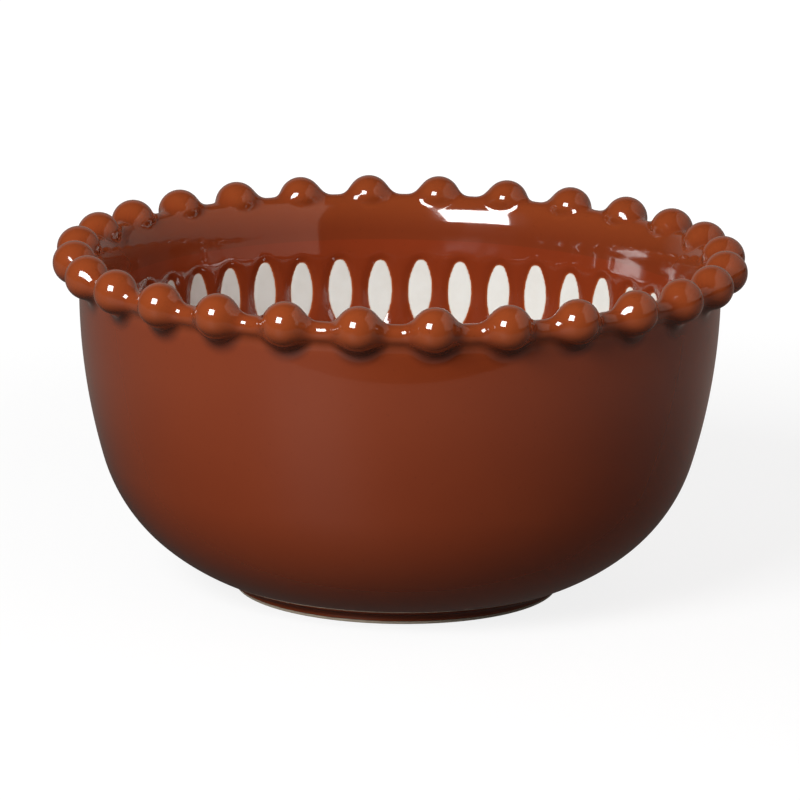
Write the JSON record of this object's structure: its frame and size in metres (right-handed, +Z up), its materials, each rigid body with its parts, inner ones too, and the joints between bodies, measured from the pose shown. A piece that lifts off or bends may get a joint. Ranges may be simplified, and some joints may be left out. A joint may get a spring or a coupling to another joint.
{
  "type": "serving bowl",
  "caption": "Deep round glazed stoneware bowl on a low foot ring, with a rounded lip carrying a ring of beads and a band of pale petals let into the inside wall.",
  "frame": {"origin": "centre of the foot ring's resting face", "axes": "+Z up along the bowl's turning axis, -Y towards the viewer of the picture, +X to the viewer's right"},
  "size_m": [0.2286, 0.2286, 0.1175],
  "materials": {
    "clay": "matt fired clay",
    "rust_glaze": "gloss rust-brown glaze",
    "cream_glaze": "gloss cream glaze"
  },
  "bodies": {
    "root": {"clay_wall": "clay", "foot_ring": "clay", "outer_glaze": "rust_glaze", "inner_glaze": "rust_glaze", "base_glaze": "rust_glaze", "petal_inlays": "cream_glaze", "rim_lip": "rust_glaze", "rim_bead_01": "rust_glaze", "rim_bead_02": "rust_glaze", "rim_bead_03": "rust_glaze", "rim_bead_04": "rust_glaze", "rim_bead_05": "rust_glaze", "rim_bead_06": "rust_glaze", "rim_bead_07": "rust_glaze", "rim_bead_08": "rust_glaze", "rim_bead_09": "rust_glaze", "rim_bead_10": "rust_glaze", "rim_bead_11": "rust_glaze", "rim_bead_12": "rust_glaze", "rim_bead_13": "rust_glaze", "rim_bead_14": "rust_glaze", "rim_bead_15": "rust_glaze", "rim_bead_16": "rust_glaze", "rim_bead_17": "rust_glaze", "rim_bead_18": "rust_glaze", "rim_bead_19": "rust_glaze", "rim_bead_20": "rust_glaze", "rim_bead_21": "rust_glaze", "rim_bead_22": "rust_glaze", "rim_bead_23": "rust_glaze", "rim_bead_24": "rust_glaze", "rim_bead_25": "rust_glaze", "rim_bead_26": "rust_glaze", "rim_bead_27": "rust_glaze", "rim_bead_28": "rust_glaze"}
  },
  "joints": []
}
